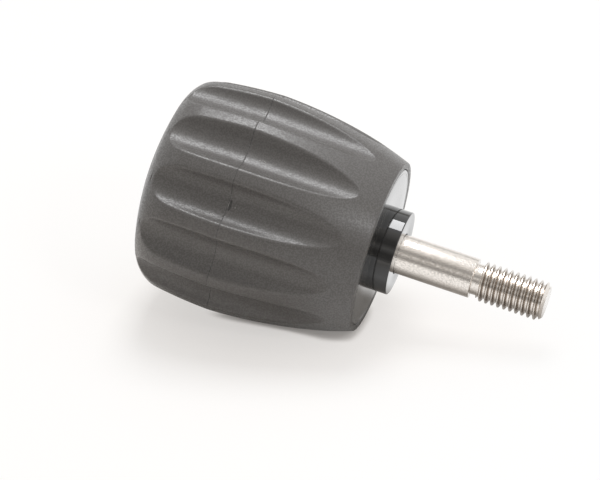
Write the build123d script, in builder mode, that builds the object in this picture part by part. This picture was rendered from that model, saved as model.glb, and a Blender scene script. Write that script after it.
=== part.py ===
"""Fluted barrel knob with a threaded stud.

Built in millimetres, standing on its head: the flat centre of the head is on z = 0,
the knob's axis is the Z axis and the stud points up.

The knob comes apart into four pieces:
    knob_body  moulded grip, cored out from the stud end, with a ribbed hub inside
    end_cover  flat disc that closes the core, flush with the rim
    collar     spacer ring round the stud, seated on the cover
    stud       turned steel stud, its hexagonal head moulded into the hub
"""

import os
from math import cos, radians, sin, sqrt

from build123d import *

# Grip: two arcs that meet at the mould's parting ring, where the grip is widest
grip_diameter = 45.5
grip_length = 47.5
rim_diameter = 34.9
parting_height = 19.2
barrel_arc_radius = 91.0
head_draft_angle = 1.5
rim_edge_chamfer = 0.2

# Head: shallow dome with a flat centre and a soft shoulder
head_flat_diameter = 16.0
head_dome_radius = 57.0
head_shoulder_radius = 7.6

# Flutes: round grooves, drafted both ways from the parting ring, where the depth is measured
flute_count = 12
flute_depth = 3.05
flute_radius = 4.9
flute_draft_angle = 1.6

# Core: what the mould leaves hollow behind the cover
rim_wall = 1.3
cover_ledge = 1.2
head_thickness = 5.0
hub_diameter = 19.0
rib_count = 6
rib_thickness = 2.4

# End cover
cover_thickness = 2.4
cover_clearance = 0.12
cover_edge_chamfer = 0.15

# Collar
collar_diameter = 17.0
collar_length = 4.1
collar_edge_chamfer = 0.2

# Stud: the plain shank and the thread have the same outside diameter
stud_diameter = 8.0
shank_length = 15.5
relief_diameter = 6.2
relief_width = 1.4
thread_length = 13.6
tip_chamfer = 0.8
stud_head_flats = 13.0
stud_head_height = 5.3
stud_embed_length = 26.0

# Fit of the stud in the hub, the cover and the collar
stud_clearance = 0.05

# Grip sizes that follow from the ones above
grip_radius = grip_diameter / 2
rim_radius = rim_diameter / 2
head_draft = radians(head_draft_angle)
head_arc_centre = Vector(
    grip_radius - barrel_arc_radius * cos(head_draft),
    parting_height + barrel_arc_radius * sin(head_draft),
)
head_flat_radius = head_flat_diameter / 2
dome_centre = Vector(0, sqrt(head_dome_radius**2 - head_flat_radius**2))
flute_centre_radius = grip_radius - flute_depth + flute_radius
flute_pitch_angle = 360 / flute_count

# Core and cover sizes, worked inwards from the rim
recess_radius = rim_radius - rim_wall
cover_radius = recess_radius - cover_clearance
core_radius = recess_radius - cover_ledge
hub_radius = hub_diameter / 2
cover_seat_height = grip_length - cover_thickness
core_depth = cover_seat_height - head_thickness

# Heights along the stud, worked outwards from the cover
stud_radius = stud_diameter / 2
stud_hole_radius = stud_radius + stud_clearance
stud_head_bottom = cover_seat_height - stud_embed_length
stud_head_top = stud_head_bottom + stud_head_height
collar_top = grip_length + collar_length
shank_top = collar_top + shank_length
thread_bottom = shank_top + relief_width


def outer_crossing(centre_a, radius_a, centre_b, radius_b):
    """Return the crossing of two circles that lies furthest from the knob's axis."""
    gap = centre_b - centre_a
    span = gap.length
    along = (span**2 + radius_a**2 - radius_b**2) / (2 * span)
    aside = sqrt(radius_a**2 - along**2)
    foot = centre_a + gap * (along / span)
    sideways = Vector(-gap.Y, gap.X) * (aside / span)
    return max(foot + sideways, foot - sideways, key=lambda point: point.X)


# The dome and the head's side of the barrel cross here, before the shoulder is rounded.
shoulder = outer_crossing(head_arc_centre, barrel_arc_radius, dome_centre, head_dome_radius)

os.makedirs("parts", exist_ok=True)

# Grip moulding: barrel, flutes, cored hub with ribs, cover recess, pocket for the stud
with BuildPart() as knob_body:
    with BuildSketch(Plane.XZ) as barrel_profile:
        with BuildLine():
            Line((0, 0), (head_flat_radius, 0))
            RadiusArc((head_flat_radius, 0), (shoulder.X, shoulder.Y), -head_dome_radius)
            RadiusArc((shoulder.X, shoulder.Y), (grip_radius, parting_height), -barrel_arc_radius)
            RadiusArc((grip_radius, parting_height), (rim_radius, grip_length), -barrel_arc_radius)
            Line((rim_radius, grip_length), (0, grip_length))
            Line((0, grip_length), (0, 0))
        make_face()
        fillet(barrel_profile.vertices().sort_by(Axis.X)[-2], head_shoulder_radius)
        rim_corner = barrel_profile.vertices().group_by(Axis.Y)[-1].sort_by(Axis.X)[-1]
        chamfer(rim_corner, rim_edge_chamfer)
    revolve(axis=Axis.Z)

    with Locations((0, 0, parting_height)):
        with PolarLocations(flute_centre_radius, flute_count, start_angle=flute_pitch_angle / 2):
            for start, lean in ((Align.MIN, -flute_draft_angle), (Align.MAX, flute_draft_angle)):
                Cylinder(
                    flute_radius,
                    grip_length,
                    rotation=(0, lean, 0),
                    align=(Align.CENTER, Align.CENTER, start),
                    mode=Mode.SUBTRACT,
                )

    with BuildSketch(Plane.XY.offset(cover_seat_height)):
        Circle(recess_radius)
    extrude(amount=cover_thickness, mode=Mode.SUBTRACT)

    with BuildSketch(Plane.XY.offset(head_thickness)) as core_pockets:
        Circle(core_radius)
        Circle(hub_radius, mode=Mode.SUBTRACT)
        with PolarLocations(0, rib_count):
            Rectangle(
                core_radius,
                rib_thickness,
                align=(Align.MIN, Align.CENTER),
                mode=Mode.SUBTRACT,
            )
    extrude(amount=core_depth, mode=Mode.SUBTRACT)

    with BuildSketch(Plane.XY.offset(stud_head_bottom)):
        RegularPolygon(stud_head_flats / 2 + stud_clearance, 6, major_radius=False)
    extrude(amount=stud_head_height, mode=Mode.SUBTRACT)
    with BuildSketch(Plane.XY.offset(stud_head_top)):
        Circle(stud_hole_radius)
    extrude(amount=cover_seat_height - stud_head_top, mode=Mode.SUBTRACT)
knob_body.part.label = "knob_body"
export_step(knob_body.part, "parts/knob_body.step")

# End cover: drops into the rim and rests on the ledge, the ribs and the hub
with BuildPart() as end_cover:
    with BuildSketch(Plane.XY.offset(cover_seat_height)):
        Circle(cover_radius)
        Circle(stud_hole_radius, mode=Mode.SUBTRACT)
    extrude(amount=cover_thickness)
    cover_rims = end_cover.edges().filter_by(GeomType.CIRCLE).sort_by(SortBy.RADIUS)[-2:]
    chamfer(cover_rims, cover_edge_chamfer)
end_cover.part.label = "end_cover"
export_step(end_cover.part, "parts/end_cover.step")

# Collar: spacer ring between the cover and whatever the stud is screwed into
with BuildPart() as collar:
    with BuildSketch(Plane.XY.offset(grip_length)):
        Circle(collar_diameter / 2)
        Circle(stud_hole_radius, mode=Mode.SUBTRACT)
    extrude(amount=collar_length)
    chamfer(collar.edges().group_by(Axis.Z)[-1].sort_by(SortBy.RADIUS)[-1], collar_edge_chamfer)
collar.part.label = "collar"
export_step(collar.part, "parts/collar.step")

# Stud: hexagonal head in the hub, plain shank, relief groove, threaded end
with BuildPart() as stud:
    with BuildSketch(Plane.XY.offset(stud_head_bottom)):
        RegularPolygon(stud_head_flats / 2, 6, major_radius=False)
    extrude(amount=stud_head_height)
    with BuildSketch(Plane.XY.offset(stud_head_top)):
        Circle(stud_radius)
    extrude(amount=shank_top - stud_head_top)
    with BuildSketch(Plane.XY.offset(shank_top)):
        Circle(relief_diameter / 2)
    extrude(amount=relief_width)
    with BuildSketch(Plane.XY.offset(thread_bottom)):
        Circle(stud_radius)
    extrude(amount=thread_length)
    chamfer(stud.edges().group_by(Axis.Z)[-1], tip_chamfer)
stud.part.label = "stud"
export_step(stud.part, "parts/stud.step")
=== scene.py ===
"""Looks of a fluted stud knob: moulded grip, end cover, collar and threaded steel stud.

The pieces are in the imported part's own frame, in metres: the knob stands on its head at z = 0
and the stud points up. Sizes of the pieces and finishes are in millimetres, those of the studio in
metres. The photograph shows the knob lying on its flank, so the camera is rolled and the studio
floor touches the flank.
"""

import logging
import math
from dataclasses import dataclass
from enum import Enum

import bmesh
import bpy
import numpy as np
from mathutils import Matrix, Vector


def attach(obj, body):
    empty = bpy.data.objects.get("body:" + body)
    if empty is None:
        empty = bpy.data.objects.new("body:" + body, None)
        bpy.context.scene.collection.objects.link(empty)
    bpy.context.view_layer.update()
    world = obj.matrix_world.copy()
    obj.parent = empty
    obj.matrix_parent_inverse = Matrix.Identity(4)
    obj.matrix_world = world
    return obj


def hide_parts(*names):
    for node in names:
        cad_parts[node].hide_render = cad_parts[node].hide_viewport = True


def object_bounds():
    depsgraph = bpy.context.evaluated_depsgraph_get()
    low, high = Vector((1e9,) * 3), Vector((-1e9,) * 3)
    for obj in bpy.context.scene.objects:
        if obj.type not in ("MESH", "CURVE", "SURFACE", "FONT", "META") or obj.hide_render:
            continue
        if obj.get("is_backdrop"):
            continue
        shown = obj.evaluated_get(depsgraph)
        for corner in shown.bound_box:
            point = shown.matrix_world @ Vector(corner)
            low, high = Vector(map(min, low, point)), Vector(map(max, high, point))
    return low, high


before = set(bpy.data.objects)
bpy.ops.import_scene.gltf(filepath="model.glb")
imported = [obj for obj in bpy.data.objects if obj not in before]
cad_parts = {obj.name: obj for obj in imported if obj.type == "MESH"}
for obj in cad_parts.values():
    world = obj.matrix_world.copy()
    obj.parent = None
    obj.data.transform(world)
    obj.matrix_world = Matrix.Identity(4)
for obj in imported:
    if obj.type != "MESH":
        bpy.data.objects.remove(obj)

MM = 0.001
MERGE_REACH = 2e-7
SLIVER_REACH = 1e-7
LEVEL_REACH = 1e-6
IMAGE_WIDTH = 600
IMAGE_HEIGHT = 480
BODY = "root"

log = logging.getLogger("knob")

Point = tuple[float, float]
Triple = tuple[float, float, float]
Colour = tuple[float, float, float]
Faces = list[tuple[int, ...]]
Object = bpy.types.Object
Material = bpy.types.Material
Tree = bpy.types.NodeTree
Node = bpy.types.Node
Socket = bpy.types.NodeSocket

WHITE: Colour = (1.0, 1.0, 1.0)


class Slot(Enum):
    """The part's material slots."""

    GRIP = "grip_plastic"
    COVER = "cover_plastic"
    COLLAR = "collar_plastic"
    STUD = "stud_steel"


class Half(Enum):
    """The two halves of the grip's mould, either side of the parting ring."""

    HEAD = "head"
    STUD = "stud"


# Meshes


def smooth(mesh: bpy.types.Mesh, crease: float) -> None:
    """Shades a mesh smoothly, apart from edges sharper than an angle in degrees."""
    mesh.shade_smooth()
    mesh.set_sharp_from_angle(angle=math.radians(crease))


def make_object(name: str, points: np.ndarray, faces: Faces, crease: float = 32.0) -> Object:
    """Makes a smooth-shaded mesh object in the part's frame.

    Args:
        name: the piece's name.
        points: n x 3 points in millimetres.
        faces: corner indices of each face, in order.
        crease: angle in degrees above which an edge is sharp.

    Returns:
        The new object, linked to the scene.
    """
    mesh = bpy.data.meshes.new(name)
    mesh.from_pydata((points * MM).tolist(), [], faces)
    work = bmesh.new()
    work.from_mesh(mesh)
    bmesh.ops.remove_doubles(work, verts=work.verts, dist=MERGE_REACH)
    bmesh.ops.dissolve_degenerate(work, edges=work.edges, dist=SLIVER_REACH)
    bmesh.ops.recalc_face_normals(work, faces=work.faces)
    work.to_mesh(mesh)
    work.free()
    smooth(mesh, crease)
    piece = bpy.data.objects.new(name, mesh)
    bpy.context.scene.collection.objects.link(piece)
    return piece


def grid_faces(rows: int, columns: int) -> Faces:
    """Joins rows of points that run round the axis.

    Args:
        rows: number of rows.
        columns: number of points in a row; the last joins the first.

    Returns:
        The faces between neighbouring rows.
    """
    faces = []
    for row in range(rows - 1):
        low = row * columns
        for column in range(columns):
            a, b = low + column, low + (column + 1) % columns
            faces.append((a, b, b + columns, a + columns))
    return faces


def turned(outline: list[Point], columns: int) -> tuple[np.ndarray, Faces]:
    """Turns an outline about the axis, as a lathe would.

    Args:
        outline: (radius, height) points in millimetres, from one end to the other.
        columns: number of points round the axis.

    Returns:
        The points in millimetres, and the faces between them.
    """
    angles = np.arange(columns) * 2 * math.pi / columns
    rows = [np.c_[r * np.cos(angles), r * np.sin(angles), np.full(columns, z)] for r, z in outline]
    return np.concatenate(rows), grid_faces(len(rows), columns)


def rounded(corners: list[Triple], closed: bool, steps: int = 5) -> list[Point]:
    """Rounds the corners of a turned outline.

    Args:
        corners: (radius, height, rounding) of each corner, in millimetres.
        closed: whether the last corner joins the first.
        steps: points on each rounded corner.

    Returns:
        The outline's points.
    """
    outline: list[Point] = []
    count = len(corners)
    for index, (radius, height, soft) in enumerate(corners):
        here = np.array([radius, height])
        at_end = not closed and index in (0, count - 1)
        if soft == 0 or at_end:
            outline.append((radius, height))
            continue
        back = np.array(corners[index - 1][:2]) - here
        ahead = np.array(corners[(index + 1) % count][:2]) - here
        back = back / np.linalg.norm(back)
        ahead = ahead / np.linalg.norm(ahead)
        half = math.acos(float(np.clip(back @ ahead, -1, 1))) / 2
        reach = soft / math.tan(half)
        centre = here + (back + ahead) / np.linalg.norm(back + ahead) * soft / math.sin(half)
        start = here + back * reach - centre
        end = here + ahead * reach - centre
        turn = math.atan2(start[0] * end[1] - start[1] * end[0], start @ end)
        for step in range(steps + 1):
            angle = turn * step / steps
            cos, sin = math.cos(angle), math.sin(angle)
            x = centre[0] + cos * start[0] - sin * start[1]
            y = centre[1] + sin * start[0] + cos * start[1]
            outline.append((float(x), float(y)))
    if closed:
        outline.append(outline[0])
    return outline


def seat(piece: Object, node: str, material: Material) -> None:
    """Dresses a piece and lets it stand for a CAD node.

    Args:
        piece: the finished mesh object.
        node: the CAD node that it stands for.
        material: the finish itself.
    """
    piece.data.materials.append(material)
    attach(piece, BODY)
    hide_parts(node)
    log.info("%s: %d vertices, stands for %s", piece.name, len(piece.data.vertices), node)


# Shader nodes


class Graph:
    """Short calls for placing and joining the nodes of one shader tree."""

    def __init__(self, tree: Tree) -> None:
        """Keeps the tree that the nodes go into."""
        self.tree = tree

    def add(self, kind: str, **settings: object) -> Node:
        """Places a node.

        Args:
            kind: the node's type name.
            settings: attributes to set on it.

        Returns:
            The node.
        """
        node = self.tree.nodes.new(kind)
        for name, value in settings.items():
            setattr(node, name, value)
        return node

    def feed(self, socket: Socket, value: object) -> None:
        """Joins an output to a socket, or sets the socket's own value.

        Args:
            socket: the input to feed.
            value: an output, or a plain value.
        """
        if isinstance(value, Socket):
            self.tree.links.new(value, socket)
        else:
            socket.default_value = value

    def math(self, operation: str, *terms: object, clamp: bool = False) -> Socket:
        """Places a Math node.

        Args:
            operation: the operation's name.
            terms: values or outputs for its inputs.
            clamp: whether the result is kept between 0 and 1.

        Returns:
            The node's output.
        """
        node = self.add("ShaderNodeMath", operation=operation, use_clamp=clamp)
        for socket, term in zip(node.inputs, terms):
            self.feed(socket, term)
        return node.outputs[0]

    def step(
        self, value: object, low: float, high: float, start: float = 0.0, end: float = 1.0
    ) -> Socket:
        """Maps a value smoothly from one range to another.

        Args:
            value: the output to map.
            low: where the change starts.
            high: where it ends.
            start: the result at low.
            end: the result at high.

        Returns:
            The mapped output.
        """
        node = self.add("ShaderNodeMapRange", interpolation_type="SMOOTHSTEP")
        for socket, term in zip(node.inputs, (value, low, high, start, end)):
            self.feed(socket, term)
        return node.outputs[0]

    def blend(self, share: object, first: object, second: object) -> Socket:
        """Mixes two colours.

        Args:
            share: how much of the second colour shows.
            first: the colour at 0.
            second: the colour at 1.

        Returns:
            The mixed colour.
        """
        node = self.add("ShaderNodeMix", data_type="RGBA")
        for name, term in (("Factor_Float", share), ("A_Color", first), ("B_Color", second)):
            socket = next(s for s in node.inputs if s.identifier == name)
            self.feed(socket, (*term, 1.0) if isinstance(term, tuple) else term)
        return next(s for s in node.outputs if s.identifier == "Result_Color")

    def noise(self, place: object, scale: object, detail: float = 2.0, rough: float = 0.5) -> Socket:
        """Places a Noise Texture.

        Args:
            place: the coordinates.
            scale: how fine it is, per metre.
            detail: number of finer layers.
            rough: how strong the finer layers are.

        Returns:
            Its value.
        """
        node = self.add("ShaderNodeTexNoise")
        self.feed(node.inputs["Vector"], place)
        self.feed(node.inputs["Scale"], scale)
        node.inputs["Detail"].default_value = detail
        node.inputs["Roughness"].default_value = rough
        return node.outputs[0]

    def place(self) -> Socket:
        """Returns the object's own coordinates, which on the pieces are the part's frame."""
        return self.add("ShaderNodeTexCoord").outputs["Object"]

    def cells(self, feature: str, place: object, scale: object) -> Node:
        """Places a Voronoi Texture.

        Args:
            feature: the distance that it gives.
            place: the coordinates.
            scale: how fine it is, per metre.

        Returns:
            The node.
        """
        node = self.add("ShaderNodeTexVoronoi", feature=feature)
        self.feed(node.inputs["Vector"], place)
        self.feed(node.inputs["Scale"], scale)
        return node

    def stretch(self, place: object, scale: Triple) -> Socket:
        """Scales coordinates along each axis.

        Args:
            place: the coordinates.
            scale: the factors along x, y and z.

        Returns:
            The scaled coordinates.
        """
        node = self.add("ShaderNodeVectorMath", operation="MULTIPLY")
        self.feed(node.inputs[0], place)
        node.inputs[1].default_value = scale
        return node.outputs[0]

    def parts(self, place: object) -> tuple[Socket, Socket, Socket]:
        """Takes coordinates apart.

        Args:
            place: the coordinates.

        Returns:
            Their x, y and z outputs.
        """
        node = self.add("ShaderNodeSeparateXYZ")
        self.feed(node.inputs[0], place)
        return node.outputs[0], node.outputs[1], node.outputs[2]

    def group(self, tree: Tree, **values: object) -> Node:
        """Places a node group.

        Args:
            tree: the group.
            values: its inputs by name, in small letters with underscores.

        Returns:
            The node.
        """
        node = self.add("ShaderNodeGroup", node_tree=tree)
        for name, value in values.items():
            self.feed(node.inputs[name.replace("_", " ").title()], value)
        return node

    def relief(self, shader: Node, height: Socket) -> None:
        """Gives a shader its fine relief.

        Args:
            shader: the material's Principled BSDF.
            height: the relief's height in millimetres.
        """
        bump = self.add("ShaderNodeBump")
        bump.inputs["Distance"].default_value = MM
        self.feed(bump.inputs["Height"], height)
        self.feed(shader.inputs["Normal"], bump.outputs[0])

    def mixed(self, share: object, first: Node, second: Node) -> Node:
        """Places a Mix Shader node between two shaders.

        Args:
            share: how much of the second shader shows.
            first: the shader at 0.
            second: the shader at 1.

        Returns:
            The node.
        """
        node = self.add("ShaderNodeMixShader")
        for socket, term in zip(node.inputs, (share, first.outputs[0], second.outputs[0])):
            self.feed(socket, term)
        return node


def new_group(name: str, inputs: dict[str, float], outputs: list[str]) -> tuple[Graph, Node, Node]:
    """Starts a shader node group.

    Args:
        name: the group's name.
        inputs: its float inputs and their usual values.
        outputs: its float outputs.

    Returns:
        A graph for its nodes, and its input and output nodes.
    """
    tree = bpy.data.node_groups.new(name, "ShaderNodeTree")
    for label, usual in inputs.items():
        socket = tree.interface.new_socket(label, in_out="INPUT", socket_type="NodeSocketFloat")
        socket.default_value = usual
    for label in outputs:
        tree.interface.new_socket(label, in_out="OUTPUT", socket_type="NodeSocketFloat")
    graph = Graph(tree)
    return graph, graph.add("NodeGroupInput"), graph.add("NodeGroupOutput")


def moulded_grain() -> Tree:
    """Builds the fine spark-eroded texture that a mould leaves on plastic.

    Returns:
        A group with Height and Fleck outputs, both about 0 to 1.
    """
    graph, given, made = new_group("moulded grain", {"Scale": 2600.0}, ["Height", "Fleck"])
    place, scale = graph.place(), given.outputs["Scale"]
    cells = graph.cells("SMOOTH_F1", place, scale)
    fine = graph.noise(place, scale, detail=2.0, rough=0.6)
    pits = graph.math("MULTIPLY_ADD", cells.outputs["Distance"], 0.6, graph.math("MULTIPLY", fine, 0.5))
    graph.feed(made.inputs["Height"], pits)
    flecks = graph.noise(place, scale, detail=1.0, rough=0.5)
    graph.feed(made.inputs["Fleck"], graph.step(flecks, low=0.42, high=0.6))
    return graph.tree


def handling_dust() -> Tree:
    """Builds sparse pale specks and faint smears left by handling.

    Returns:
        A group with Specks and Smear outputs, both 0 to 1.
    """
    inputs = {"Scale": 420.0, "Amount": 0.5}
    graph, given, made = new_group("handling dust", inputs, ["Specks", "Smear"])
    place = graph.place()
    cells = graph.cells("F1", place, given.outputs["Scale"])
    chance = graph.add("ShaderNodeSeparateColor")
    graph.feed(chance.inputs[0], cells.outputs["Color"])
    share = graph.math("MULTIPLY", given.outputs["Amount"], 0.1)
    rare = graph.math("GREATER_THAN", share, chance.outputs[0])
    dot = graph.step(cells.outputs["Distance"], low=0.05, high=0.02)
    graph.feed(made.inputs["Specks"], graph.math("MULTIPLY", rare, dot))
    smear = graph.noise(graph.stretch(place, (1.0, 1.0, 0.35)), 260.0, detail=4.0, rough=0.6)
    graph.feed(made.inputs["Smear"], graph.step(smear, low=0.4, high=0.75))
    return graph.tree


def turning_marks() -> Tree:
    """Builds the fine rings that a lathe leaves, with mottling along them.

    Returns:
        A group with Rings and Mottle outputs, both about 0 to 1.
    """
    inputs = {"Ring Scale": 9000.0, "Mottle Scale": 1700.0}
    graph, given, made = new_group("turning marks", inputs, ["Rings", "Mottle"])
    place = graph.place()
    round_axis = graph.stretch(place, (0.03, 0.03, 1.0))
    rings = graph.noise(round_axis, given.outputs["Ring Scale"], detail=2.0, rough=0.6)
    graph.feed(made.inputs["Rings"], rings)
    along_axis = graph.stretch(place, (1.0, 1.0, 0.6))
    blots = graph.noise(along_axis, given.outputs["Mottle Scale"], detail=3.0, rough=0.65)
    graph.feed(made.inputs["Mottle"], graph.step(blots, low=0.4, high=0.64))
    return graph.tree


@dataclass(frozen=True)
class SharedEffects:
    """The node groups that several finishes use, built once."""

    grain: Tree
    dust: Tree
    turning: Tree

    @classmethod
    def build(cls) -> "SharedEffects":
        """Builds the groups."""
        return cls(moulded_grain(), handling_dust(), turning_marks())


def new_material(name: str) -> tuple[Material, Graph, Node]:
    """Starts a material.

    Args:
        name: the finish's name.

    Returns:
        The material, a graph for its nodes, and its Principled BSDF.
    """
    material = bpy.data.materials.new(name)
    material.use_nodes = True
    shader = next(n for n in material.node_tree.nodes if n.type == "BSDF_PRINCIPLED")
    return material, Graph(material.node_tree), shader


def bare_material(name: str) -> tuple[Material, Graph]:
    """Starts a material of the stage, with no nodes in it.

    Args:
        name: the material's name.

    Returns:
        The material and a graph for its nodes.
    """
    material = bpy.data.materials.new(name)
    material.use_nodes = True
    graph = Graph(material.node_tree)
    graph.tree.nodes.clear()
    return material, graph


# Finishes


@dataclass(frozen=True)
class Mark:
    """A small place on the grip where handling left a trace.

    centre: its place in millimetres in the part's frame.
    length: along the ring, in millimetres.
    width: along the axis, in millimetres.
    depth: into and out of the surface, in millimetres.
    """

    centre: Triple
    length: float
    width: float
    depth: float = 2.0

    def reach(self, graph: Graph, place: Socket) -> Socket:
        """Adds the distance from the mark's middle to a material.

        Args:
            graph: the material's graph.
            place: coordinates in the part's frame.

        Returns:
            The distance, 1 on the mark's outline.
        """
        node = graph.add("ShaderNodeMapping", vector_type="TEXTURE")
        graph.feed(node.inputs["Vector"], place)
        x, y, _ = self.centre
        size = (self.depth, self.length / 2, self.width / 2)
        node.inputs["Location"].default_value = [c * MM for c in self.centre]
        node.inputs["Rotation"].default_value = (0.0, 0.0, math.atan2(y, x))
        node.inputs["Scale"].default_value = [c * MM for c in size]
        far = graph.add("ShaderNodeVectorMath", operation="LENGTH")
        graph.feed(far.inputs[0], node.outputs[0])
        return far.outputs["Value"]


@dataclass(frozen=True)
class GripFinish:
    """Dark warm grey plastic with a sparkling spark-eroded texture and a few knocks.

    The mould's stud half is a little smoother than its head half. The parting line and the nick are
    painted darker, as painted shade, and the lip beside the nick is painted pale, as a painted
    highlight.
    """

    colour: Colour = (0.074, 0.0686, 0.0643)
    pale: Colour = (0.082, 0.0762, 0.0716)
    # line: colour of the painted shade along the parting line and in the nick
    line: Colour = (0.03, 0.028, 0.026)
    # dust: pale colour of the dust specks and scuffs, also used for the painted highlight on the lip
    dust: Colour = (0.42, 0.4, 0.38)
    head_roughness: float = 0.6
    stud_roughness: float = 0.5
    half_blend: float = 0.1
    smear_roughness: float = 0.05
    coat_roughness: float = 0.28
    sheen: float = 0.3
    sparkle: float = 0.55
    grain_scale: float = 3300.0
    grain_depth: float = 0.011
    dust_scale: float = 420.0
    dust_amount: float = 0.5
    speck_share: float = 0.7
    line_height: float = 19.2
    line_width: float = 0.11
    line_core: float = 0.3
    line_least: float = 0.6
    break_scale: float = 700.0
    scuff_scale: float = 3600.0
    nick: Mark = Mark((5.36, -18.96, 19.62), 2.5, 0.54)
    nick_depth: float = 0.25
    lip: Mark = Mark((5.36, -18.96, 19.24), 2.0, 0.3)
    lip_height: float = 0.05
    lip_share: float = 0.8
    scuffs: tuple[Mark, ...] = (
        Mark((-5.03, -19.25, 22.6), 0.6, 1.9),
        Mark((8.27, -19.2, 16.8), 0.6, 1.5),
        Mark((5.49, -18.9, 20.7), 0.3, 1.6),
    )

    def material(self, effects: SharedEffects) -> Material:
        """Builds the material.

        Args:
            effects: the shared node groups.

        Returns:
            The material.
        """
        material, graph, shader = new_material("grip_matt_plastic")
        place = graph.place()
        height = graph.parts(place)[2]
        grain = graph.group(effects.grain, scale=self.grain_scale)
        dust = graph.group(effects.dust, scale=self.dust_scale, amount=self.dust_amount)
        slit = graph.step(self.nick.reach(graph, place), low=1.0, high=0.6)
        lip = graph.step(self.lip.reach(graph, place), low=1.0, high=0.3)

        # Painted shade: the parting line is darkened in colour, over its real shallow groove in the
        # mesh.
        off_line = graph.math("ABSOLUTE", graph.math("SUBTRACT", height, self.line_height * MM))
        line = graph.step(off_line, self.line_width * MM, self.line_width * MM * self.line_core)
        broken = graph.step(graph.noise(place, self.break_scale), low=0.3, high=0.55)
        shown = graph.math("MULTIPLY_ADD", broken, 1 - self.line_least, self.line_least)
        line = graph.math("MULTIPLY", line, shown)
        dots = graph.step(graph.noise(place, self.scuff_scale, detail=1.0), low=0.56, high=0.66)
        pale = graph.math("MULTIPLY", dust.outputs["Specks"], self.speck_share)
        for scuff in self.scuffs:
            worn = graph.step(scuff.reach(graph, place), low=1.0, high=0.5)
            pale = graph.math("MAXIMUM", pale, graph.math("MULTIPLY", worn, dots))
        # Painted highlight: the lip beside the nick is coloured pale, over a real rise in the relief.
        pale = graph.math("MAXIMUM", pale, graph.math("MULTIPLY", lip, self.lip_share))

        colour = graph.blend(grain.outputs["Fleck"], self.colour, self.pale)
        colour = graph.blend(pale, colour, self.dust)
        colour = graph.blend(line, colour, self.line)
        # Painted shade: the nick is darkened in colour as well as cut into the relief.
        colour = graph.blend(slit, colour, self.line)
        graph.feed(shader.inputs["Base Color"], colour)

        low, high = (self.line_height - self.half_blend) * MM, (self.line_height + self.half_blend) * MM
        half = graph.step(height, low, high, self.head_roughness, self.stud_roughness)
        rough = graph.math("MULTIPLY_ADD", dust.outputs["Smear"], self.smear_roughness, half)
        graph.feed(shader.inputs["Roughness"], rough)
        gloss = graph.math("MULTIPLY_ADD", grain.outputs["Fleck"], self.sparkle, self.sheen)
        graph.feed(shader.inputs["Coat Weight"], gloss)
        shader.inputs["Coat Roughness"].default_value = self.coat_roughness

        relief = graph.math("MULTIPLY", grain.outputs["Height"], self.grain_depth)
        relief = graph.math("MULTIPLY_ADD", slit, -self.nick_depth, relief)
        relief = graph.math("MULTIPLY_ADD", lip, self.lip_height, relief)
        graph.relief(shader, relief)
        return material


@dataclass(frozen=True)
class GlossFinish:
    """Smooth moulded plastic with a polish, a little dust and faint turning rings."""

    name: str
    colour: Colour
    pale: Colour
    roughness: float
    coat: float
    ring_depth: float
    ring_scale: float = 5000.0
    grain_scale: float = 1500.0
    fleck_roughness: float = 0.03
    dust_scale: float = 700.0
    dust_amount: float = 0.8
    speck: Colour = (0.25, 0.22, 0.19)
    speck_share: float = 0.5
    smear_share: float = 0.6
    smear_roughness: float = 0.06

    def material(self, effects: SharedEffects) -> Material:
        """Builds the material.

        Args:
            effects: the shared node groups.

        Returns:
            The material.
        """
        material, graph, shader = new_material(self.name)
        grain = graph.group(effects.grain, scale=self.grain_scale)
        dust = graph.group(effects.dust, scale=self.dust_scale, amount=self.dust_amount)
        marks = graph.group(effects.turning, ring_scale=self.ring_scale)
        smear = graph.math("MULTIPLY", dust.outputs["Smear"], self.smear_share)
        specks = graph.math("MULTIPLY", dust.outputs["Specks"], self.speck_share)
        colour = graph.blend(specks, graph.blend(smear, self.colour, self.pale), self.speck)
        graph.feed(shader.inputs["Base Color"], colour)
        rough = graph.math("MULTIPLY_ADD", dust.outputs["Smear"], self.smear_roughness, self.roughness)
        rough = graph.math("MULTIPLY_ADD", grain.outputs["Fleck"], self.fleck_roughness, rough)
        graph.feed(shader.inputs["Roughness"], rough)
        graph.relief(shader, graph.math("MULTIPLY", marks.outputs["Rings"], self.ring_depth))
        shader.inputs["Coat Weight"].default_value = self.coat
        shader.inputs["Coat Roughness"].default_value = self.roughness
        return material


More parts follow.
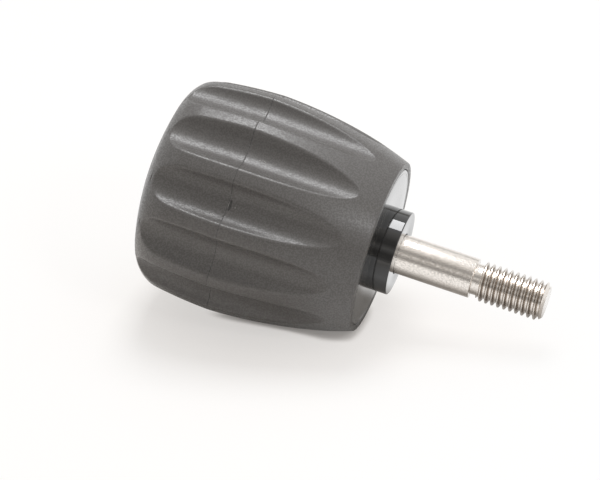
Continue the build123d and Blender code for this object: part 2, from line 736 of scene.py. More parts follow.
@dataclass(frozen=True)
class SteelFinish:
    """Bright turned steel, polished along the shank, with painted shade on its thread's flanks."""

    bright: Colour = (0.88, 0.83, 0.775)
    dull: Colour = (0.73, 0.68, 0.63)
    # Colour of the painted shade on the thread's flanks.
    thread_shade: Colour = (0.2, 0.16, 0.13)
    roughness: float = 0.05
    mottle_roughness: float = 0.1
    thread_shade_roughness: float = 0.2
    smear_roughness: float = 0.04
    ring_scale: float = 9000.0
    ring_depth: float = 0.002
    mottle_scale: float = 4200.0
    mottle_depth: float = 0.006
    thread_shade_share: float = 0.55
    flank_radii: Point = (3.3, 3.92)
    flank_blend: float = 0.12
    thread_heights: Point = (68.5, 81.4)

    def material(self, effects: SharedEffects) -> Material:
        """Builds the material.

        Args:
            effects: the shared node groups.

        Returns:
            The material.
        """
        material, graph, shader = new_material("stud_bright_steel")
        marks = graph.group(effects.turning, ring_scale=self.ring_scale, mottle_scale=self.mottle_scale)
        mottle = marks.outputs["Mottle"]
        smear = graph.group(effects.dust).outputs["Smear"]

        x, y, height = graph.parts(graph.place())
        radius = graph.math("SQRT", graph.math("MULTIPLY_ADD", x, x, graph.math("MULTIPLY", y, y)))
        # Painted shade: the thread's flanks are darkened, where shade falls between the crests.
        (low, high), fade = self.flank_radii, self.flank_blend
        above_root = graph.step(radius, low * MM, (low + fade) * MM)
        below_crest = graph.step(radius, high * MM, (high - fade) * MM)
        flank = graph.math("MULTIPLY", above_root, below_crest)
        bottom, top = (h * MM for h in self.thread_heights)
        above, below = graph.math("GREATER_THAN", height, bottom), graph.math("LESS_THAN", height, top)
        threaded = graph.math("MULTIPLY", graph.math("MULTIPLY", above, below), self.thread_shade_share)
        thread_shaded = graph.math("MULTIPLY", flank, threaded)

        metal = graph.blend(mottle, self.bright, self.dull)
        graph.feed(shader.inputs["Base Color"], graph.blend(thread_shaded, metal, self.thread_shade))
        rough = graph.math("MULTIPLY_ADD", mottle, self.mottle_roughness, self.roughness)
        rough = graph.math("MULTIPLY_ADD", thread_shaded, self.thread_shade_roughness, rough)
        rough = graph.math("MULTIPLY_ADD", smear, self.smear_roughness, rough)
        graph.feed(shader.inputs["Roughness"], rough)
        relief = graph.math("MULTIPLY", marks.outputs["Rings"], self.ring_depth)
        graph.relief(shader, graph.math("MULTIPLY_ADD", mottle, self.mottle_depth, relief))
        shader.inputs["Metallic"].default_value = 1.0
        return material


# Pieces


@dataclass
class Grip:
    """The moulded grip: a barrel of two drafted halves with flutes, closed inside round the stud.

    Heights are above the head's flat. Rows run round the grip, and columns from a flute to a land.
    """

    length: float = 47.5
    parting_radius: float = 22.745
    parting_height: float = 19.2
    rim_radius: float = 17.45
    barrel_arc: float = 91.0
    head_draft_deg: float = 1.5
    head_flat: float = 8.0
    dome_arc: float = 57.0
    shoulder_arc: float = 7.6
    flutes: int = 12
    flute_floor: float = 19.7
    flute_arc: float = 4.9
    flute_draft_deg: float = 1.6
    edge_round: float = 0.95
    rim_round: float = 0.22
    recess_radius: float = 16.15
    seat_height: float = 45.1
    bore_radius: float = 4.05
    pocket_radius: float = 7.6
    pocket_top: float = 24.4
    pocket_bottom: float = 19.1
    line_depth: float = 0.05
    line_reach: float = 0.05
    recess_round: float = 0.18
    rim_room: float = 1.4
    head_radii: tuple[float, ...] = (0.6, 2.0, 4.5)
    pocket_middle: float = 0.5
    ring_rows: tuple[float, ...] = (-0.16, -0.06, 0.0, 0.06, 0.16)
    ring_gap: float = 0.35
    runout: Point = (35.5, 43.0)
    dome_rows: int = 9
    shoulder_rows: int = 38
    head_rows: int = 14
    barrel_rows: int = 22
    runout_rows: int = 26
    rim_rows: int = 8
    corner_steps: int = 4
    flute_columns: int = 10
    edge_columns: int = 7
    land_columns: int = 4
    least_edge_deg: float = 1.5

    def __post_init__(self) -> None:
        """Works out the profile's arc centres and tangent points, as (radius, height)."""
        draft = math.radians(self.head_draft_deg)
        arc = self.barrel_arc
        self.dome_centre = np.array([0.0, math.sqrt(self.dome_arc**2 - self.head_flat**2)])
        self.head_centre = np.array(
            [self.parting_radius - arc * math.cos(draft), self.parting_height + arc * math.sin(draft)]
        )
        ring = np.array([self.parting_radius, self.parting_height])
        rim = np.array([self.rim_radius, self.length])
        chord = rim - ring
        inward = np.array([-chord[1], chord[0]]) / np.linalg.norm(chord)
        height = math.sqrt(arc**2 - (np.linalg.norm(chord) / 2) ** 2)
        self.stud_centre = (ring + rim) / 2 + inward * height
        dome_reach, head_reach = self.dome_arc - self.shoulder_arc, arc - self.shoulder_arc
        self.shoulder_centre = self.outer_crossing(
            self.dome_centre, dome_reach, self.head_centre, head_reach
        )
        out = self.shoulder_centre - self.dome_centre
        self.dome_end = self.dome_centre + out / np.linalg.norm(out) * self.dome_arc
        out = self.shoulder_centre - self.head_centre
        self.shoulder_end = self.head_centre + out / np.linalg.norm(out) * arc
        lean = math.radians(self.flute_draft_deg)
        along = np.array([math.sin(lean), math.cos(lean)])
        start = np.array([self.flute_floor - self.edge_round / math.cos(lean), self.parting_height])
        gap = start - self.shoulder_centre
        back = float(gap @ along)
        fall = back + math.sqrt(back**2 - gap @ gap + (self.shoulder_arc - self.edge_round) ** 2)
        self.roll_centre = start - along * fall
        self.roll_height = float(self.roll_centre[1]) - self.edge_round * math.sin(lean)

    @staticmethod
    def outer_crossing(
        centre_a: np.ndarray, radius_a: float, centre_b: np.ndarray, radius_b: float
    ) -> np.ndarray:
        """Finds where two circles of the profile cross, furthest from the axis.

        Args:
            centre_a: first centre, as (radius, height).
            radius_a: first radius.
            centre_b: second centre.
            radius_b: second radius.

        Returns:
            The crossing, as (radius, height).
        """
        gap = centre_b - centre_a
        span = np.linalg.norm(gap)
        along = (span**2 + radius_a**2 - radius_b**2) / (2 * span)
        aside = math.sqrt(radius_a**2 - along**2)
        foot = centre_a + gap * along / span
        sideways = np.array([-gap[1], gap[0]]) * aside / span
        return max(foot + sideways, foot - sideways, key=lambda point: point[0])

    def half(self, height: float) -> Half:
        """Returns the mould half that a height belongs to."""
        return Half.HEAD if height <= self.parting_height else Half.STUD

    def envelope(self, height: float) -> float:
        """Gives the barrel's outside radius at a height, before the flutes are cut.

        Args:
            height: height above the head's flat.

        Returns:
            The radius there.
        """
        if height <= self.dome_end[1]:
            centre, arc = self.dome_centre, self.dome_arc
        elif height <= self.shoulder_end[1]:
            centre, arc = self.shoulder_centre, self.shoulder_arc
        elif self.half(height) is Half.HEAD:
            centre, arc = self.head_centre, self.barrel_arc
        else:
            centre, arc = self.stud_centre, self.barrel_arc
        return float(centre[0] + math.sqrt(max(arc**2 - (height - centre[1]) ** 2, 0.0)))

    def floor_at(self, height: float) -> float:
        """Gives the radius of a flute's floor, drafted both ways and rolled over into the shoulder.

        Args:
            height: height above the head's flat.

        Returns:
            The radius there.
        """
        if height >= self.roll_height:
            draft = math.tan(math.radians(self.flute_draft_deg))
            return self.flute_floor - abs(height - self.parting_height) * draft
        drop = self.roll_centre[1] - height
        return float(self.roll_centre[0] + math.sqrt(max(self.edge_round**2 - drop**2, 0.0)))

    def heights(self) -> np.ndarray:
        """Lists the heights of the mesh rows from the shoulder to the rim, closer where flutes end.

        Returns:
            The heights in rising order.
        """
        low = math.atan2(*(self.dome_end - self.shoulder_centre)[::-1])
        high = math.atan2(*(self.shoulder_end - self.shoulder_centre)[::-1])
        turns = np.linspace(low, high, self.shoulder_rows)
        ring, (fade, end) = self.parting_height, self.runout
        rim = self.length - self.rim_round * self.rim_room
        return np.concatenate(
            [
                self.shoulder_centre[1] + self.shoulder_arc * np.sin(turns),
                np.linspace(self.shoulder_end[1], ring - self.ring_gap, self.head_rows)[1:],
                ring + np.array(self.ring_rows),
                np.linspace(ring + self.ring_gap, fade, self.barrel_rows),
                np.linspace(fade, end, self.runout_rows)[1:],
                np.linspace(end, rim, self.rim_rows)[1:],
            ]
        )

    def section(self, height: float) -> np.ndarray:
        """Draws half a flute, its rounded edge and half a land: three arcs that meet smoothly.

        Args:
            height: height above the head's flat.

        Returns:
            Points from the flute's middle, which is on the x axis, to the land's middle.
        """
        outside, soft, arc = self.envelope(height), self.edge_round, self.flute_arc
        middle, inner = self.floor_at(height) + arc, outside - soft
        share = (inner**2 + middle**2 - (arc + soft) ** 2) / (2 * inner * middle)
        edge = math.acos(min(share, 1.0))
        least, last = math.radians(self.least_edge_deg), math.pi / self.flutes
        if edge < least:
            turns = np.linspace(0.0, least, self.flute_columns + self.edge_columns, endpoint=False)
            before = outside * np.c_[np.cos(turns), np.sin(turns)]
            edge = least
        else:
            knee = inner * np.array([math.cos(edge), math.sin(edge)])
            swing = math.atan2(knee[1], middle - knee[0])
            turns = np.linspace(0.0, swing, self.flute_columns, endpoint=False)
            flute = np.c_[middle - arc * np.cos(turns), arc * np.sin(turns)]
            turns = np.linspace(-swing, edge, self.edge_columns, endpoint=False)
            lip = knee + soft * np.c_[np.cos(turns), np.sin(turns)]
            before = np.concatenate([flute, lip])
        turns = np.linspace(edge, last, self.land_columns + 1)
        half = np.concatenate([before, outside * np.c_[np.cos(turns), np.sin(turns)]])
        groove = math.exp(-(((height - self.parting_height) / self.line_reach) ** 2)) * self.line_depth
        return half * (1 - groove / outside)

    def ring(self, height: float) -> np.ndarray:
        """Makes one closed row of points round the grip.

        Args:
            height: height above the head's flat.

        Returns:
            The row's points in millimetres.
        """
        half = self.section(height)
        sector = np.concatenate([half[:0:-1] * (1, -1), half[:-1]])
        rows = []
        for k in range(self.flutes):
            turn = 2 * math.pi / self.flutes * (k + 0.5)
            cos, sin = math.cos(turn), math.sin(turn)
            rows.append(sector @ np.array([[cos, sin], [-sin, cos]]))
        flat = np.concatenate(rows)
        return np.c_[flat, np.full(len(flat), height)]

    @staticmethod
    def resized(row: np.ndarray, radius: float, height: float) -> np.ndarray:
        """Moves a row of points to another radius and height, at the same angles."""
        flat = row[:, :2] / np.linalg.norm(row[:, :2], axis=1)[:, None] * radius
        return np.c_[flat, np.full(len(row), height)]

    def build(self) -> Object:
        """Builds the grip's closed mesh.

        Returns:
            The grip.
        """
        outside = [self.ring(height) for height in self.heights()]
        first, last = outside[0], outside[-1]
        head = [self.resized(first, r, 0.0) for r in (*self.head_radii, self.head_flat)]
        for radius in np.linspace(self.head_flat, self.dome_end[0], self.dome_rows)[1:-1]:
            rise = self.dome_centre[1] - math.sqrt(self.dome_arc**2 - radius**2)
            head.append(self.resized(first, float(radius), rise))
        corner = rounded(
            [
                (float(np.linalg.norm(last[0, :2])), float(last[0, 2]), 0.0),
                (self.rim_radius, self.length, self.rim_round),
                (self.recess_radius, self.length, self.recess_round),
                (self.recess_radius, self.seat_height, 0.0),
                (self.bore_radius, self.seat_height, 0.0),
                (self.bore_radius, self.pocket_top, 0.0),
                (self.pocket_radius, self.pocket_top, 0.0),
                (self.pocket_radius, self.pocket_bottom, 0.0),
                (self.pocket_middle, self.pocket_bottom, 0.0),
            ],
            closed=False,
            steps=self.corner_steps,
        )
        inside = [self.resized(last, r, z) for r, z in corner[1:]]
        rows = head + outside + inside
        count = len(first)
        points = np.concatenate(rows)
        faces = grid_faces(len(rows), count)
        faces.append(tuple(reversed(range(count))))
        faces.append(tuple(range(len(points) - count, len(points))))
        return make_object("grip", points, faces)

    def dress(self, piece: Object, effects: SharedEffects) -> None:
        """Gives the grip its moulded finish and its place."""
        finish = GripFinish(line_height=self.parting_height)
        seat(piece, "knob_body", finish.material(effects))


@dataclass
class Ring:
    """A moulded ring round the stud, with a lead-in at its bore and perhaps a groove in its face."""

    name: str
    node: str
    slot: Slot
    finish: GlossFinish
    bottom: float
    top: float
    inner: float
    outer: float
    edge: float
    lead_in: float
    lead_depth: float
    lead_round: float = 0.04
    edge_room: float = 1.3
    groove_radius: float = 0.0
    groove_width: float = 0.2
    groove_depth: float = 0.1
    groove_round: float = 0.03
    columns: int = 160

    def groove(self) -> list[Triple]:
        """Lists the corners of the fine groove in the face.

        Returns:
            The corners with their rounding, or none where the ring has no groove.
        """
        if not self.groove_radius:
            return []
        reach = self.groove_width / 2
        return [
            (self.groove_radius + reach, self.top, self.groove_round),
            (self.groove_radius, self.top - self.groove_depth, 0.0),
            (self.groove_radius - reach, self.top, self.groove_round),
        ]

    def build(self) -> Object:
        """Builds the ring's closed mesh.

        Returns:
            The ring.
        """
        room = self.edge * self.edge_room
        lead, step = self.inner + self.lead_in, self.top - self.lead_depth
        outline = rounded(
            [
                (self.inner, self.bottom, 0.0),
                (self.outer, self.bottom, 0.0),
                (self.outer, self.top - room, 0.0),
                (self.outer, self.top, self.edge),
                (self.outer - room, self.top, 0.0),
                *self.groove(),
                (lead, self.top, self.lead_round),
                (lead, step, 0.0),
                (self.inner, step, 0.0),
            ],
            closed=True,
        )
        return make_object(self.name, *turned(outline, self.columns))

    def dress(self, piece: Object, effects: SharedEffects) -> None:
        """Gives the ring its finish and its place."""
        seat(piece, self.node, self.finish.material(effects))


@dataclass
class Stud:
    """The turned steel stud: hidden hexagonal head, plain shank, relief groove and M8 thread."""

    radius: float = 4.0
    head_bottom: float = 19.1
    head_top: float = 24.4
    head_flats: float = 13.0
    head_sides: int = 6
    shank_middle: float = 0.4
    shank_overlap: float = 0.5
    shank_top: float = 67.1
    shank_round: float = 0.16
    relief_radius: float = 3.1
    relief_round: float = 0.12
    thread_bottom: float = 68.5
    top: float = 82.1
    tip_chamfer: float = 0.8
    pitch: float = 1.25
    root_radius: float = 3.22
    crest_share: float = 0.125
    root_share: float = 0.25
    start_share: float = -0.27
    start_step: float = 0.45
    start_slope: float = 1.7
    spare_turns: int = 2
    flank_rows: int = 5
    corner_steps: int = 4
    columns: int = 120
    crease_deg: float = 28.0

    def thread_radius(self, share: np.ndarray) -> np.ndarray:
        """Gives the thread's radius across one pitch.

        Args:
            share: place in the pitch, 0 at a crest's middle and 0.5 at a root's.

        Returns:
            The radii in millimetres.
        """
        off = np.abs((share + 0.5) % 1.0 - 0.5)
        crest, root = self.crest_share / 2, self.root_share / 2
        slope = np.clip((off - crest) / (0.5 - root - crest), 0, 1)
        return self.radius - (self.radius - self.root_radius) * slope

    def thread(self) -> tuple[np.ndarray, Faces]:
        """Builds the thread with its rows along the helix, cut square below and chamfered at the tip.

        Returns:
            Points in millimetres and faces.
        """
        crest, root = self.crest_share / 2, self.root_share / 2
        flank = np.linspace(crest, 0.5 - root, self.flank_rows)
        shares = np.concatenate([[-crest], flank, [0.5], 1 - flank[:0:-1]])
        turns = int((self.top - self.thread_bottom) / self.pitch) + 2 * self.spare_turns
        rows = np.concatenate([shares + k - self.spare_turns for k in range(turns)])
        angles = np.arange(self.columns) / self.columns
        height = self.thread_bottom + self.pitch * (rows[:, None] + angles[None, :] + self.start_share)
        kept = np.clip(height, self.thread_bottom, self.top)
        share = (kept - self.thread_bottom) / self.pitch - angles[None, :] - self.start_share
        radius = self.thread_radius(share)
        tip = self.radius - self.tip_chamfer + (self.top - kept)
        rise = (kept - self.thread_bottom) * self.start_slope
        start = self.relief_radius + self.start_step + rise
        radius = np.minimum(np.minimum(radius, tip), start)
        turn = np.broadcast_to(angles * 2 * math.pi, kept.shape)
        points = np.stack([radius * np.cos(turn), radius * np.sin(turn), kept], -1).reshape(-1, 3)
        per_turn, faces = len(shares), []
        for row in range(len(rows) - 1):
            for column in range(self.columns):
                beside, lift = (column + 1, 0) if column + 1 < self.columns else (0, per_turn)
                if row + 1 + lift < len(rows):
                    a, b = row * self.columns + column, (row + lift) * self.columns + beside
                    faces.append((a, b, b + self.columns, a + self.columns))
        return points, faces

    def head(self, first: int) -> tuple[np.ndarray, Faces]:
        """Builds the hexagonal head that the grip is moulded round.

        Args:
            first: index of the first point.

        Returns:
            Points in millimetres and faces.
        """
        sides = self.head_sides
        corner = self.head_flats / 2 / math.cos(math.pi / sides)
        points, faces = [], []
        for height in (self.head_bottom, self.head_top):
            for k in range(sides):
                angle = 2 * math.pi / sides * k
                points.append((corner * math.cos(angle), corner * math.sin(angle), height))
        for k in range(sides):
            a, b = first + k, first + (k + 1) % sides
            faces.append((a, b, b + sides, a + sides))
        faces.append(tuple(first + k for k in reversed(range(sides))))
        faces.append(tuple(first + sides + k for k in range(sides)))
        return np.array(points), faces

    def build(self) -> Object:
        """Builds the stud's mesh.

        Returns:
            The stud.
        """
        foot = self.head_top - self.shank_overlap
        outline = rounded(
            [
                (self.shank_middle, foot, 0.0),
                (self.radius, foot, 0.0),
                (self.radius, self.shank_top, self.shank_round),
                (self.relief_radius, self.shank_top, self.relief_round),
                (self.relief_radius, self.thread_bottom, 0.0),
            ],
            closed=False,
            steps=self.corner_steps,
        )
        body, faces = turned(outline, self.columns)
        faces.append(tuple(reversed(range(self.columns))))
        helix, helix_faces = self.thread()
        faces += [tuple(i + len(body) for i in face) for face in helix_faces]
        head, head_faces = self.head(len(body) + len(helix))
        points = np.concatenate([body, helix, head])
        piece = make_object("stud_turned", points, faces + head_faces, self.crease_deg)
        self.close_ends(piece)
        return piece

    def close_ends(self, piece: Object) -> None:
        """Fills the flat tip, and joins the thread's lower end to the relief groove.

        Args:
            piece: the stud.
        """
        work = bmesh.new()
        work.from_mesh(piece.data)
        rims = [edge for edge in work.edges if edge.is_boundary]
        tip, start = (
            [e for e in rims if all(abs(v.co.z - level * MM) < LEVEL_REACH for v in e.verts)]
            for level in (self.top, self.thread_bottom)
        )
        bmesh.ops.holes_fill(work, edges=tip)
        bmesh.ops.bridge_loops(work, edges=start)
        bmesh.ops.recalc_face_normals(work, faces=work.faces)
        work.to_mesh(piece.data)
        work.free()
        smooth(piece.data, self.crease_deg)

    def dress(self, piece: Object, effects: SharedEffects) -> None:
        """Gives the stud its bright steel and its place."""
        seat(piece, "stud", SteelFinish().material(effects))


# Camera and studio


@dataclass(frozen=True)
class PhotoView:
    """Where the photograph was taken from.

    lean_deg: how far the stud leans towards the camera.
    fall_deg: how far the stud points down in the picture.
    spin_deg: how far the knob is turned about its own axis.
    rim_pixel: where the middle of the rim falls in the picture.
    """

    lean_deg: float = 8.871
    fall_deg: float = 18.516
    spin_deg: float = -79.1
    rim_height: float = 47.5
    rim_pixel: Point = (380.812, 247.176)
    pixels_per_mm: float = 5.069
    distance: float = 1000.0
    sensor: float = 36.0
    clip: Point = (0.05, 20.0)

    def turn(self) -> np.ndarray:
        """Works out how the camera is turned.

        Returns:
            The matrix that takes the camera's right, up and back to the part's frame.
        """
        lean, fall, spin = (math.radians(a) for a in (self.lean_deg, self.fall_deg, self.spin_deg))
        flat = math.cos(lean)
        axis = np.array([flat * math.cos(fall), -flat * math.sin(fall), math.sin(lean)])
        near = np.array([0.0, 0.0, 1.0]) - axis[2] * axis
        near = near / np.linalg.norm(near)
        below = np.cross(axis, near)
        x_row = math.cos(spin) * near - math.sin(spin) * below
        return np.array([x_row, np.cross(axis, x_row), axis])

    def direction(self, right: float, up: float, back: float) -> Vector:
        """Returns a direction given from the camera, in the part's frame."""
        return Vector(self.turn() @ np.array([right, up, back])).normalized()

    def make_camera(self) -> Object:
        """Makes the scene's camera.

        Returns:
            The camera.
        """
        x = (self.rim_pixel[0] - IMAGE_WIDTH / 2) / self.pixels_per_mm
        y = (IMAGE_HEIGHT / 2 - self.rim_pixel[1]) / self.pixels_per_mm
        turn = self.turn()
        place = np.array([0.0, 0.0, self.rim_height]) - turn @ np.array([x, y, -self.distance])
        data = bpy.data.cameras.new("camera")
        data.sensor_width = self.sensor
        data.lens = self.pixels_per_mm * self.distance * self.sensor / IMAGE_WIDTH
        data.clip_start, data.clip_end = self.clip
        camera = bpy.data.objects.new("camera", data)
        camera.matrix_world = Matrix.Translation(Vector(place * MM)) @ Matrix(turn.tolist()).to_4x4()
        bpy.context.scene.collection.objects.link(camera)
        bpy.context.scene.camera = camera
        return camera


@dataclass
class Studio:
    """A pale floor under the knob's flank, two soft panels and two grey cards for reflections.

    Ways are directions from the knob, as right, up and back from the camera. Sizes are in metres.
    """

    view: PhotoView

    # The floor as paper, and as the camera sees it: painted shade round the knob, painted light by the
    # stud
    floor_tilt_deg: float = 27.0
    floor_size: float = 3.0
    floor_colour: Colour = (0.9, 0.872, 0.842)
    paper_scale: float = 900.0
    paper_depth: float = 0.985
    floor_shade: Colour = (1.0, 0.955, 0.915)
    floor_outer_shade: Colour = (1.0, 0.972, 0.948)
    floor_glow: float = 0.66
    floor_contact: float = 0.22
    contact_reach: float = 0.0027
    contact_ramp: Point = (0.3, 0.85)
    shade_reach: float = 0.05
    shade_ramp: Point = (0.5, 0.97)
    shade_drop: float = 0.07
    shade_samples: int = 12
    # Painted light: the floor beside the stud glows more, taking away the stud's shadow there.
    stud_glow: float = 0.9
    stud_light_ramp: Point = (0.0, 0.03)

    # The floor as reflections see it: white, with a painted shadow near the knob
    floor_mirrored_shadow: Colour = (0.12, 0.11, 0.1)
    mirrored_shadow_share: float = 0.65
    stud_side: Point = (-0.02, 0.005)
    white_before: Point = (0.0, 0.022)
    white_behind: Point = (-0.009, -0.017)

    # Lamps, cards and surround
    ambient: Colour = (0.66, 0.655, 0.645)
    lamp_colour: Colour = (0.98, 0.985, 1.0)
    lamp_distance: float = 0.62
    panel_way: Triple = (0.03, 0.973, 0.227)
    panel_size: Point = (0.332, 0.241)
    panel_power: float = 2.26
    window_way: Triple = (0.411, 0.214, 0.886)
    window_size: Point = (0.15, 0.13)
    window_power: float = 0.6
    card_distance: float = 0.5
    card_tint: Colour = (1.0, 0.975, 0.945)
    front_way: Triple = (-0.114, 0.038, 0.993)
    front_size: Point = (1.2, 0.95)
    front_tones: tuple[Point, ...] = (
        (0.0, 0.95), (0.15, 0.78), (0.24, 0.56), (0.305, 0.34), (0.404, 0.3), (0.467, 0.58), (0.5, 0.76),
        (0.533, 0.58), (0.595, 0.33), (0.683, 0.37), (0.75, 0.56), (0.85, 0.78), (1.0, 1.0),
    )
    back_way: Triple = (0.2, 0.777, -0.597)
    back_size: Point = (0.09, 1.0)
    back_tones: tuple[Point, ...] = ((0.0, 0.5), (1.0, 0.5))

    def middle(self) -> Vector:
        """Returns the point that the studio is set round."""
        low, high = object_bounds()
        return (low + high) / 2

    @staticmethod
    def placed(centre: Vector, facing: Vector) -> Matrix:
        """Returns the matrix of a thing that is at a point and looks a way."""
        return Matrix.Translation(centre) @ facing.to_track_quat("Z", "Y").to_matrix().to_4x4()

    def sheet(self, name: str, centre: Vector, facing: Vector, size: Point) -> Object:
        """Makes a flat stage sheet.

        Args:
            name: the sheet's name.
            centre: its middle.
            facing: the way its front looks.
            size: its width and height in metres.

        Returns:
            The sheet.
        """
        w, h = size[0] / 2, size[1] / 2
        mesh = bpy.data.meshes.new(name)
        mesh.from_pydata([(-w, -h, 0), (w, -h, 0), (w, h, 0), (-w, h, 0)], [], [(0, 1, 2, 3)])
        sheet = bpy.data.objects.new(name, mesh)
        sheet.matrix_world = self.placed(centre, facing)
        bpy.context.scene.collection.objects.link(sheet)
        sheet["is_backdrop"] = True
        return sheet

    def floor(self, rest: Object) -> None:
        """Lays the floor against the flank that the knob lies on.

        Args:
            rest: the piece that touches the floor.
        """
        tilt = math.radians(self.floor_tilt_deg)
        up = self.view.direction(0.0, math.cos(tilt), math.sin(tilt))
        points = np.zeros(len(rest.data.vertices) * 3)
        rest.data.vertices.foreach_get("co", points)
        lowest = float((points.reshape(-1, 3) @ np.array(up)).min())
        middle = self.middle()
        centre = middle - up * (middle.dot(up) - lowest)
        floor = self.sheet("floor", centre, up, (self.floor_size, self.floor_size))
        floor.data.materials.append(self.floor_paper())

    def floor_paper(self) -> Material:
        """Builds the floor's paper.

        The camera sees it near white, with painted shade under and round the knob and painted light
        beside the stud. Reflections see it white, or dark near the knob as a painted shadow.

        Returns:
            The material.
        """
        material, graph = bare_material("floor_paper")
        place = graph.place()
        paper = graph.add("ShaderNodeBsdfDiffuse")
        deep = tuple(c * self.paper_depth for c in self.floor_colour)
        tint = graph.noise(place, self.paper_scale)
        graph.feed(paper.inputs["Color"], graph.blend(tint, self.floor_colour, deep))
        glow, clear = graph.add("ShaderNodeEmission"), graph.add("ShaderNodeBsdfTransparent")
        behind = graph.add("ShaderNodeNewGeometry").outputs["Backfacing"]
        from_camera = graph.add("ShaderNodeLightPath").outputs["Is Camera Ray"]
        forward, along, _ = graph.parts(place)
        by_stud = graph.step(along, *self.stud_side)

        # Painted shade: the camera's glow is darkened and warmed where the knob covers the floor.
        open_sky = self.openness(graph, self.contact_reach, self.contact_ramp)
        clear_of = self.openness(graph, self.shade_reach, self.shade_ramp)
        soft = graph.blend(clear_of, self.floor_outer_shade, WHITE)
        soft = graph.blend(open_sky, self.floor_shade, soft)
        lit = graph.step(open_sky, 0.0, 1.0, self.floor_contact, self.floor_glow)
        # Painted light: the floor glows more towards the stud, so the stud's shadow is lifted away.
        lift, more = graph.step(along, *self.stud_light_ramp), self.stud_glow - self.floor_glow
        lit = graph.math("MULTIPLY_ADD", lift, more, lit, clamp=True)
        drop = graph.math("MULTIPLY", graph.math("SUBTRACT", 1.0, by_stud), self.shade_drop)
        lit = graph.math("MULTIPLY_ADD", graph.math("SUBTRACT", clear_of, 1.0), drop, lit)

        # Painted shadow for reflections: near the knob the floor shows dark to glossy rays, away from it
        # white.
        before = graph.math("MULTIPLY", by_stud, graph.step(forward, *self.white_before))
        shown = graph.math("MAXIMUM", before, graph.step(forward, *self.white_behind))
        mirrored_shadow = graph.blend(shown, self.floor_mirrored_shadow, WHITE)
        graph.feed(glow.inputs["Color"], graph.blend(from_camera, mirrored_shadow, soft))
        shown = graph.math("MAXIMUM", shown, graph.math("MULTIPLY", by_stud, self.mirrored_shadow_share))
        mirrored = graph.math("MULTIPLY", self.seen(graph), shown)

        share = graph.math("MULTIPLY_ADD", from_camera, graph.math("SUBTRACT", lit, mirrored), mirrored)
        see_through = graph.math("MULTIPLY", behind, from_camera)
        both = graph.mixed(see_through, graph.mixed(share, paper, glow), clear)
        graph.feed(graph.add("ShaderNodeOutputMaterial").inputs[0], both.outputs[0])
        return material

    def openness(self, graph: Graph, reach: float, ramp: Point) -> Socket:
        """Adds how open the floor is: 0 where the knob covers it and 1 clear of the knob.

        Args:
            graph: the floor's graph.
            reach: how far the knob is looked for, in metres.
            ramp: the openness that counts as 0, and as 1.

        Returns:
            The openness.
        """
        node = graph.add("ShaderNodeAmbientOcclusion", samples=self.shade_samples)
        node.inputs["Distance"].default_value = reach
        return graph.step(node.outputs["AO"], *ramp)

    @staticmethod
    def seen(graph: Graph) -> Socket:
        """Adds a mask of the rays that show the background.

        Args:
            graph: the graph of the floor or the surround.

        Returns:
            1 for rays from the camera, from a reflection or through glass.
        """
        path = graph.add("ShaderNodeLightPath")
        seen = graph.math("MAXIMUM", path.outputs["Is Camera Ray"], path.outputs["Is Glossy Ray"])
        return graph.math("MAXIMUM", seen, path.outputs["Is Transmission Ray"])

    def panel(self, name: str, way: Triple, size: Point, power: float) -> None:
        """Hangs a soft light panel.

        Args:
            name: the panel's name.
            way: direction from the knob to the panel, seen from the camera.
            size: its width and height in metres.
            power: its power in watts.
        """
        data = bpy.data.lights.new(name, "AREA")
        data.shape = "RECTANGLE"
        data.size, data.size_y = size
        data.energy = power
        data.color = self.lamp_colour
        out = self.view.direction(*way)
        lamp = bpy.data.objects.new(name, data)
        lamp.matrix_world = self.placed(self.middle() + out * self.lamp_distance, out)
        bpy.context.scene.collection.objects.link(lamp)

    def card(self, name: str, way: Triple, size: Point, tones: tuple[Point, ...]) -> None:
        """Stands a grey card round the knob, for the dim parts of the room in its reflections.

        Args:
            name: the card's name.
            way: direction from the knob to the card, seen from the camera.
            size: its height and width in metres.
            tones: greys across its height, each with its place from 0 at the foot to 1 at the top.
        """
        out = self.view.direction(*way)
        card = self.sheet(name, self.middle() + out * self.card_distance, -out, size)
        material, graph = bare_material(name)
        ramp = graph.add("ShaderNodeValToRGB")
        stops = ramp.color_ramp.elements
        for place, _ in tones[2:]:
            stops.new(place)
        for stop, (place, grey) in zip(stops, tones):
            stop.position, stop.color = place, (*(grey * c for c in self.card_tint), 1.0)
        height = graph.parts(graph.place())[0]
        graph.feed(ramp.inputs[0], graph.math("MULTIPLY_ADD", height, 1 / size[0], 0.5))
        glow = graph.add("ShaderNodeEmission")
        graph.feed(glow.inputs["Color"], ramp.outputs[0])
        graph.feed(graph.add("ShaderNodeOutputMaterial").inputs[0], glow.outputs[0])
        card.data.materials.append(material)
        card.visible_camera = False
        card.visible_shadow = False
        card.visible_transmission = False

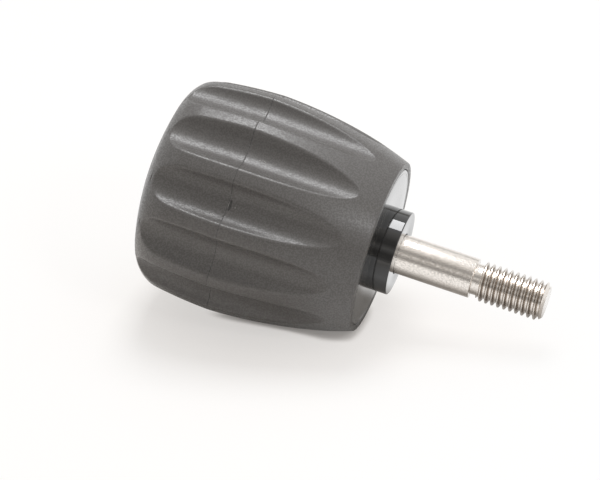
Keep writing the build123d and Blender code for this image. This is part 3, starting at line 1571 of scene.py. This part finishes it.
    def world(self) -> None:
        """Sets a white surround for the camera and for reflections, and softer ambient light."""
        world = bpy.data.worlds.new("surround")
        world.use_nodes = True
        bpy.context.scene.world = world
        graph = Graph(world.node_tree)
        graph.tree.nodes.clear()
        soft, white = graph.add("ShaderNodeBackground"), graph.add("ShaderNodeBackground")
        soft.inputs["Color"].default_value = (*self.ambient, 1.0)
        white.inputs["Color"].default_value = (*WHITE, 1.0)
        both = graph.mixed(self.seen(graph), soft, white)
        graph.feed(graph.add("ShaderNodeOutputWorld").inputs[0], both.outputs[0])

    def build(self, rest: Object) -> None:
        """Sets up the floor, the light, the cards and the surround.

        Args:
            rest: the piece that touches the floor.
        """
        self.floor(rest)
        self.panel("panel_above", self.panel_way, self.panel_size, self.panel_power)
        self.panel("panel_beside", self.window_way, self.window_size, self.window_power)
        self.card("card_front", self.front_way, self.front_size, self.front_tones)
        self.card("card_back", self.back_way, self.back_size, self.back_tones)
        self.world()
        bpy.context.scene.view_settings.view_transform = "Standard"


def main() -> None:
    """Builds the pieces, the camera and the studio."""
    logging.basicConfig(level=logging.INFO, format="%(name)s: %(message)s")
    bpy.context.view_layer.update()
    effects = SharedEffects.build()

    grip = Grip()
    grip_piece = grip.build()
    grip.dress(grip_piece, effects)

    cover = Ring(
        name="cover_disc",
        node="end_cover",
        slot=Slot.COVER,
        finish=GlossFinish(
            name="cover_gloss_plastic",
            colour=(0.03, 0.028, 0.025),
            pale=(0.045, 0.042, 0.038),
            roughness=0.09,
            coat=1.0,
            ring_depth=0.0012,
        ),
        bottom=45.1,
        top=47.5,
        inner=4.05,
        outer=16.03,
        edge=0.24,
        lead_in=0.05,
        lead_depth=0.2,
        groove_radius=15.35,
    )
    collar = Ring(
        name="collar_ring",
        node="collar",
        slot=Slot.COLLAR,
        finish=GlossFinish(
            name="collar_gloss_plastic",
            colour=(0.003, 0.0025, 0.002),
            pale=(0.005, 0.004, 0.003),
            roughness=0.05,
            coat=0.7,
            ring_depth=0.001,
        ),
        bottom=47.5,
        top=51.6,
        inner=4.05,
        outer=8.5,
        edge=0.18,
        lead_in=0.15,
        lead_depth=0.9,
    )
    for ring in (cover, collar):
        ring.dress(ring.build(), effects)

    stud = Stud()
    stud.dress(stud.build(), effects)

    view = PhotoView()
    view.make_camera()
    Studio(view).build(grip_piece)


if __name__ == "__main__":
    main()
